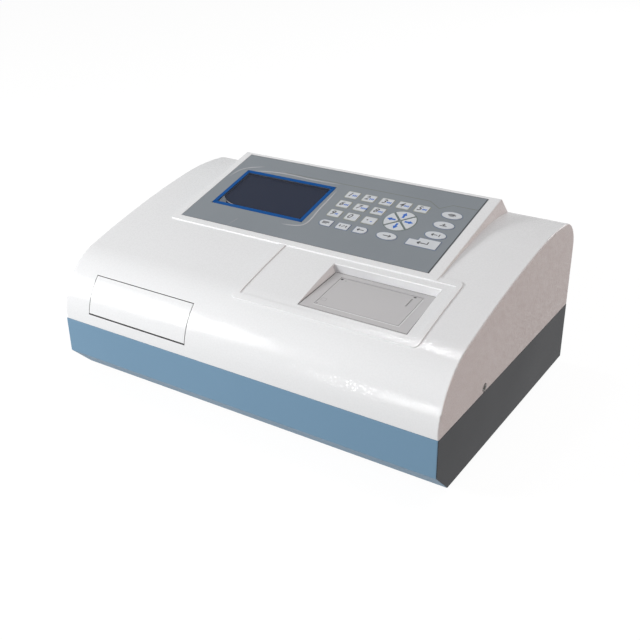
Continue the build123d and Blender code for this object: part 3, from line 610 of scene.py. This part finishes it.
digits = {
    "size": 10.2, "slant": 0.28, "weight": 0.10, "x": -3.3, "s": 0.0,
    "barsX": 0.9, "barsS": -0.9, "barWide": 1.25, "barTall": 2.7, "barStep": 1.95, "barLean": 0.5,
    "zeroDots": [(2.4, -1.6, 0.7, 0.7), (4.6, -1.6, 0.7, 0.7)],
    "point": (-2.6, 0.2, 1.9, 1.9), "pointBar": (1.6, -1.8, 3.8, -1.6, 1.2),
}

digitBars = {
    "0": 0, "1": 3, "2": 3, "3": 3, "4": 3, "5": 3, "6": 3, "7": 4, "8": 3, "9": 2,
}

pictograms = {  # bars as (x0, s0, x1, s1, width), in millimetres from the key's middle
    "key_mode": [(-4.2, 1.5, 4.0, 1.5, 0.9), (-4.2, 0, 4.0, 0, 0.9), (-4.2, -1.5, 1.6, -1.5, 0.9)],
    "key_letter": [(-3.8, -1.6, -3.8, 1.6, 1.3), (-1.4, -1.6, 1.4, 1.6, 0.8),
                   (3.8, -1.6, 3.8, 1.6, 1.3)],
    "key_delete": [(-3.6, 0, 3.8, 0, 1.0), (-4.0, 0, -1.8, 1.8, 1.0), (-4.0, 0, -1.8, -1.8, 1.0)],
    "key_print": [(-4.4, 0, 4.4, 0, 1.6), (-2.6, 1.7, 2.6, 1.7, 0.8), (-2.6, -1.9, 2.6, -1.9, 0.8)],
    "key_save": [(-4.0, -1.9, 4.0, -1.9, 0.9), (0, 2.2, 0, -0.6, 1.1), (-1.8, 0.8, 0, -0.9, 0.9),
                 (1.8, 0.8, 0, -0.9, 0.9)],
    "key_reset": [(-4.4, 0, 2.0, 0, 1.0), (-4.6, 0, -2.4, 1.9, 1.0), (-4.6, 0, -2.4, -1.9, 1.0),
                  (4.2, -1.9, 4.2, 1.9, 1.1)],
    "key_send": [(-4.4, 0, 3.4, 0, 1.0), (4.6, 0, 2.2, 1.9, 1.0), (4.6, 0, 2.2, -1.9, 1.0)],
    "key_enter": [(-5.6, -1.4, 5.2, -1.4, 1.2), (5.2, -1.9, 5.2, 2.4, 1.2),
                  (-6.0, -1.4, -3.2, 0.9, 1.1), (-6.0, -1.4, -3.2, -3.6, 1.1)],
}

arrows = {
    "shaft": 2.5, "reach": 4.4, "head": 6.6,
    "neck": 0.3, "headPlace": 0.5,  # shares of the reach
}

arrowTurns = {"key_right": 0, "key_up": 90, "key_left": 180, "key_down": 270}


def addDigits():
    for label, count in digitBars.items():
        key = "key_" + label
        look = [digits[part] for part in ("size", "x", "s", "slant", "weight")]
        word = addWord(label, *look)
        parts = paintParts([word], "inkBlack")
        bars = []
        for k in range(count):
            x = digits["barsX"] + digits["barStep"] * k
            low = digits["barsS"] - digits["barTall"] / 2
            high = low + digits["barTall"]
            bars.append(addBar(x, low, x + digits["barLean"], high, digits["barWide"]))
        if label == "0":
            bars = [addDot(*dot) for dot in digits["zeroDots"]]
        layLegend(parts + paintParts(bars, "inkBlue"), key)
    dots = paintParts([addDot(*digits["point"])], "inkBlack")
    dots += paintParts([addBar(*digits["pointBar"])], "inkBlue")
    layLegend(dots, "key_dot")


def layLegend(parts, key):
    legend = joinAll(parts)
    thicken(legend, heights["ink"])
    x, s = nodePlace(key, "console")
    placeOn(legend, "console", x, s, heights["key"])
    finishPiece(legend, key.replace("key_", "legend_"), key)


def addPictograms():
    for key, bars in pictograms.items():
        layLegend(paintParts([addBar(*bar) for bar in bars], "inkBlack"), key)


def addArrows():
    for key, turn in arrowTurns.items():
        half = arrows["reach"]
        shaft = addBar(-half, 0, half * arrows["neck"], 0, arrows["shaft"])
        head = addDot(0, 0, arrows["head"], arrows["head"], 3)
        head.rotation_euler.z = math.radians(-90)
        head.location.x = half * arrows["headPlace"] * mm
        applyPlace(head)
        arrow = joinAll(paintParts([shaft, head], "inkBlue"))
        arrow.rotation_euler.z = math.radians(turn)
        applyPlace(arrow)
        layLegend([arrow], key)


# outlines printed round the keys

outlines = {
    "width": 0.6, "reach": 1.2,  # how far from a key an edge of the panel still belongs to it
    "number": "inkOlive", "arrow": "inkGreen", "function": "inkBlueGrey",
    "facing": 0.9,  # how squarely a face must look out of the console
}


def outlineKind(key):
    if key in arrowTurns:
        return "arrow"
    return "function" if key in pictograms else "number"


weld = 0.00001  # corners of a copied node closer than this are one


def copyNode(name):
    only(nodes[name])
    bpy.ops.object.duplicate()
    copy = bpy.context.object
    copy.parent = None
    del copy["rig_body"], copy["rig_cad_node"]
    bpy.ops.object.mode_set(mode="EDIT")
    bpy.ops.mesh.select_mode(type="FACE")
    bpy.ops.mesh.select_all(action="SELECT")
    bpy.ops.mesh.remove_doubles(threshold=weld)
    bpy.ops.mesh.select_all(action="DESELECT")
    bpy.ops.object.mode_set(mode="OBJECT")
    return copy


def deleteFaces(obj, unwanted):
    only(obj)
    bpy.ops.object.mode_set(mode="EDIT")
    bpy.ops.mesh.select_mode(type="FACE")
    bpy.ops.mesh.select_all(action="DESELECT")
    bpy.ops.object.mode_set(mode="OBJECT")
    for face in obj.data.polygons:
        face.select = unwanted(face)
    bpy.ops.object.mode_set(mode="EDIT")
    bpy.ops.mesh.delete(type="FACE")
    bpy.ops.object.mode_set(mode="OBJECT")


def keyNear(place, boxes):
    reach = outlines["reach"] * mm
    for key, (low, high) in boxes.items():
        if all(low[i] - reach < place[i] < high[i] + reach for i in (0, 1)):
            return key
    return None


def addOutlines():
    ring = copyNode("control_panel")
    up = planeMatrix("console").to_3x3() @ Vector((0, 0, 1))
    deleteFaces(ring, lambda face: face.normal.dot(up) < outlines["facing"])
    bpy.ops.object.mode_set(mode="EDIT")
    bpy.ops.mesh.select_all(action="SELECT")
    bpy.ops.mesh.inset(thickness=outlines["width"] * mm, use_boundary=True)
    bpy.ops.mesh.delete(type="FACE")
    bpy.ops.object.mode_set(mode="OBJECT")
    boxes = {name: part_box(name) for name in nodes if name.startswith("key_")}
    deleteFaces(ring, lambda face: keyNear(face.center, boxes) is None)
    kinds = ("number", "arrow", "function")
    ring.data.materials.clear()
    for kind in kinds:
        ring.data.materials.append(finishOf(outlines[kind]))
    for face in ring.data.polygons:
        face.material_index = kinds.index(outlineKind(keyNear(face.center, boxes)))
    ring.location = up * heights["ink"] / 2 * mm
    applyPlace(ring)
    thicken(ring, heights["ink"])
    finishPiece(ring, "key_outlines", "case")


# console: screen tape, film, printed line

screen = {
    "x": -82.35, "s": 78.45,
    "tape": {"wide": 121.3, "tall": 73.1, "corner": 2.6, "border": 4.4, "low": -0.5, "thick": 0.45},
    # a black ring under the tape: painted shade along the edge of the sunken screen
    "edge_shade": {"wide": 114.2, "tall": 66.0, "corner": 0.6, "border": 2.6, "low": -3.05, "thick": 0.9},
    "cuts": 26, "ragged": 0.35, "raggedRight": 1.0, "seed": 7,
    "innerFrom": 0.8, "rightFrom": 1.6,  # shares of the border
    "crossRagged": 0.5,
}

film = {
    # the folds and the inside edge line are real raised strips; their pale finish is a painted
    # highlight along them
    "folds": [  # along the console plane: a width, then points as (x, s)
        (2.0, [(-156.9, 96), (-155.6, 107), (-152, 114.5), (-146.5, 119.5), (-138, 124),
               (-129, 127.6)]),
        (2.2, [(-135, 115.6), (-123, 118.8), (-105, 121.6), (-88, 122.4), (-66, 120.9),
               (-44, 120.8), (-21, 121.9)]),
        (2.3, [(-17.8, 109), (-16.8, 93), (-16.6, 78), (-16, 64), (-14.6, 52), (-14.8, 43),
               (-18, 36.8), (-28, 33.4), (-40, 32.2)]),
        (1.1, [(-97.4, 11), (-95.4, 17.5), (-93.6, 24.5)]),
    ],
    "inside": (0.9, [(-130.5, 52), (-124, 48.3), (-116, 46.4), (-104, 45.4), (-88, 45.1),
                     (-65, 45.5), (-46, 45.7), (-35, 45.2)]),
    "flat": 0.12,  # a fold's height over its width
    "ends": 0.25,  # a fold's width at its ends, as a share
    "patch": [(-136.6, 45.6), (-137.6, 58.5), (-131.6, 53.6), (-126.4, 46.6)],
}


def frameRing(spec):
    deselectAll()
    bpy.ops.mesh.primitive_plane_add(size=1)
    ring = bpy.context.object
    ring.scale = (spec["wide"] * mm, spec["tall"] * mm, 1)
    applyPlace(ring)
    bpy.ops.object.mode_set(mode="EDIT")
    bpy.ops.mesh.select_mode(type="EDGE")
    bpy.ops.mesh.select_all(action="SELECT")
    bpy.ops.mesh.bevel(affect="VERTICES", offset=spec["corner"] * mm, segments=4)
    bpy.ops.mesh.select_all(action="SELECT")
    bpy.ops.mesh.inset(thickness=spec["border"] * mm)
    bpy.ops.mesh.delete(type="FACE")
    bpy.ops.object.mode_set(mode="OBJECT")
    return ring


def isInner(place, spec):
    margin = spec["border"] * screen["innerFrom"]
    insideWide = abs(place.x) / mm < spec["wide"] / 2 - margin
    return insideWide and abs(place.y) / mm < spec["tall"] / 2 - margin


def tearEdge(ring, spec):
    verts = ring.data.vertices
    for edge in ring.data.edges:
        edge.select = all(isInner(verts[v].co, spec) for v in edge.vertices)
    bpy.ops.object.mode_set(mode="EDIT")
    bpy.ops.mesh.subdivide(number_cuts=screen["cuts"])
    bpy.ops.object.mode_set(mode="OBJECT")
    chance = random.Random(screen["seed"])
    for vert in ring.data.vertices:
        if isInner(vert.co, spec):
            right = vert.co.x / mm > spec["wide"] / 2 - spec["border"] * screen["rightFrom"]
            reach = screen["raggedRight" if right else "ragged"] * mm
            vert.co.x -= chance.uniform(0, reach)
            vert.co.y += chance.uniform(-reach, reach) * screen["crossRagged"]


def layRing(ring, spec, finish, name):
    paintParts([ring], finish)
    thicken(ring, spec["thick"])
    placeOn(ring, "console", screen["x"], screen["s"], spec["low"])
    finishPiece(ring, name, "case")


def addScreen():
    tape = frameRing(screen["tape"])
    tearEdge(tape, screen["tape"])
    layRing(tape, screen["tape"], "borderBlue", "screen_tape")
    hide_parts("screen_border")
    layRing(frameRing(screen["edge_shade"]), screen["edge_shade"], "inkBlack", "screen_edge_shade")


def addFold(width, points):
    data = bpy.data.curves.new("fold", "CURVE")
    data.dimensions = "3D"
    data.bevel_depth = width / 2 * mm
    data.bevel_resolution = 2
    spline = data.splines.new("NURBS")
    spline.points.add(len(points) - 1)
    for k, (x, s) in enumerate(points):
        spline.points[k].co = (x * mm, s * mm, 0, 1)
        spline.points[k].radius = film["ends"] if k in (0, len(points) - 1) else 1.0
    spline.order_u = 3
    spline.use_endpoint_u = True
    obj = bpy.data.objects.new("fold", data)
    bpy.context.scene.collection.objects.link(obj)
    only(obj)
    bpy.ops.object.convert(target="MESH")
    fold = bpy.context.object
    fold.scale.z = film["flat"]
    applyPlace(fold)
    return fold


def addFilm():
    folds = [addFold(*fold) for fold in film["folds"]]
    sheet = joinAll(paintParts(folds, "filmFoldSheen"))
    placeOn(sheet, "console", 0, 0, heights["panel"])
    finishPiece(sheet, "film_folds", "case")
    inner = joinAll(paintParts([addFold(*film["inside"])], "filmFoldSheen"))
    placeOn(inner, "console", 0, 0, screen["tape"]["low"])
    finishPiece(inner, "film_edge", "case")
    patch = joinAll(paintParts([addPatch(film["patch"])], "filmPatch"))
    layMark(patch, "console", screen["tape"]["low"], "film_corner", "case")


def addPatch(corners):
    deselectAll()
    bpy.ops.mesh.primitive_plane_add(size=1)
    patch = bpy.context.object
    order = [0, 2, 3, 1]  # the primitive plane's corners run in rows
    for k, (x, s) in zip(order, corners):
        patch.data.vertices[k].co = (x * mm, s * mm, 0)
    bpy.ops.object.mode_set(mode="EDIT")
    bpy.ops.mesh.select_all(action="SELECT")
    bpy.ops.mesh.normals_make_consistent(inside=False)
    bpy.ops.object.mode_set(mode="OBJECT")
    if patch.data.polygons[0].normal.z < 0:
        patch.data.flip_normals()
    return patch


panelLine = {
    "points": [(-96, 123.9), (-62, 123.7), (89.7, 123.7), (105, 113.7), (116.4, 123.7),
               (146, 123.7)],
    "width": 0.55,
}

panelGapShadow = [  # painted shadow: black bars along the overlay's edges, where the gap round it lies in shade, as (x0, s0, x1, s1, width)
    (145.2, 8.4, 145.2, 146.6, 1.3),
    (-160.6, 8.5, 146.0, 8.5, 0.35), (-160.6, 146.5, 146.0, 146.5, 0.35),
]


def addPanelLine():
    points = panelLine["points"]
    bars = [addBar(*a, *b, panelLine["width"]) for a, b in zip(points, points[1:])]
    line = joinAll(paintParts(bars, "inkOliveDark"))
    layMark(line, "console", heights["panel"], "panel_line", "case")


def addPanelGapShadow():
    edge = joinAll(paintParts([addBar(*bar) for bar in panelGapShadow], "inkBlack"))
    layMark(edge, "console", heights["panel"], "panel_gap_shadow", "case")


# painted shadow: a black lining in the plate door's opening, standing in for the shade in the gap
# round the door

doorway = {  # in millimetres and degrees round the middle of the housing's nose
    "left": -190.3, "right": -57.4, "y": -88.5, "z": 76.0, "radius": (62, 70),
    "low": 8.9, "high": 45.4, "spare": 1,
    "square": 0.95,  # how squarely an edge's face must lie
    "lipTop": 9.1,  # the low strip ends here
    "lowThick": 0.9, "thick": 0.2,  # 0.2 leaves the turning door its room
}


def noseAngle(place):
    return math.degrees(math.atan2(place.z / mm - doorway["z"], doorway["y"] - place.y / mm))


def noseTurn(normal):
    return math.degrees(math.atan2(normal.z, -normal.y))


def isDoorEdge(face):
    place, angle = face.center, noseAngle(face.center)
    radius = math.hypot(place.y / mm - doorway["y"], place.z / mm - doorway["z"])
    near = doorway["radius"][0] < radius < doorway["radius"][1]
    between = doorway["left"] < place.x / mm < doorway["right"]
    across = abs(math.sin(math.radians(noseTurn(face.normal) - angle)))
    square = max(abs(face.normal.x), across) > doorway["square"]
    inside = doorway["low"] - doorway["spare"] < angle < doorway["high"] + doorway["spare"]
    return near and between and square and inside


def isLip(face):
    return noseAngle(face.center) < doorway["lipTop"]


def addDoorGapShadow():
    for name, low, thick in (("door_gap_shadow_low", True, "lowThick"), ("door_gap_shadow", False, "thick")):
        gap_shadow = copyNode("upper_housing")
        deleteFaces(gap_shadow, lambda face: not (isDoorEdge(face) and isLip(face) == low))
        paintParts([gap_shadow], "rubberBlack")
        thicken(gap_shadow, doorway[thick])
        finishPiece(gap_shadow, name, "case")


# marks on the printer's lid, and painted shade and highlight round its plate

lidMarks = {  # on the printer plane, in millimetres from its middle
    "latch": (-42.9, 56.4, 3.2, 2.4), "pin": (37.4, 56.8, 3.0, 2.0),
    "speck": (-37.8, 55.2, 0.9, 0.9), "foot": (-43.2, 10.6, 1.0, 1.0),
    "square": (-40.3, 18.2, 5.2, 4.2, 0.35),
}

# painted shade and highlight: the dark bars stand in for the shade in the gaps round the lid plate,
# the light bars for the highlight on its raised edges
plateShadeAndHighlight = {  # on the printer plane, as (x0, v0, x1, v1, width)
    "dark": [(-58.2, 0.5, -55.0, 65.2, 0.8), (-55.0, 65.6, 55.0, 65.6, 0.4),
             (58.3, 1.0, 55.2, 65.0, 0.45), (-58.0, 0.9, 58.0, 0.9, 0.35)],
    "light": [(-45.6, 7.9, 46.2, 7.9, 0.8), (46.2, 7.6, 46.2, 56.0, 0.7)],
}

plateShadeAndHighlightFinish = {"dark": "gapShadeGrey", "light": "doorWhite"}


def addLidMarks():
    dark = [addDot(*lidMarks[mark]) for mark in ("latch", "pin", "speck", "foot")]
    marks = joinAll(paintParts(dark, "inkBlack"))
    layMark(marks, "printer", heights["lid"], "lid_marks", "printer_lid")
    x, v, wide, tall, line = lidMarks["square"]
    left, right, low, high = x - wide / 2, x + wide / 2, v - tall / 2, v + tall / 2
    corners = [(left, low), (right, low), (right, high), (left, high)]
    sides = [(*a, *b) for a, b in zip(corners, corners[1:] + corners[:1])]
    square = joinAll(paintParts([addBar(*side, line) for side in sides], "lidGrey"))
    layMark(square, "printer", heights["lid"], "lid_pictogram", "printer_lid")


def addPlateShadeAndHighlight():
    for kind, bars in plateShadeAndHighlight.items():
        edge = joinAll(paintParts([addBar(*bar) for bar in bars], plateShadeAndHighlightFinish[kind]))
        layMark(edge, "printer", heights["lid"], "printer_edge_painted_" + kind, "case")


addCamera()
for name, spec in lamps.items():
    addLamp(name, *spec)
addWorld()
addFloor()
print("stage: camera, lamps, floor")
dressNodes()
print("finishes on the CAD nodes")
addDigits()
addPictograms()
addArrows()
print("legends")
addOutlines()
addPanelLine()
addPanelGapShadow()
print("printed lines")
addScreen()
addFilm()
print("screen tape and film")
addLidMarks()
addPlateShadeAndHighlight()
addDoorGapShadow()
print("lid marks and door seal")

bpy.context.scene.view_settings.view_transform = "Standard"
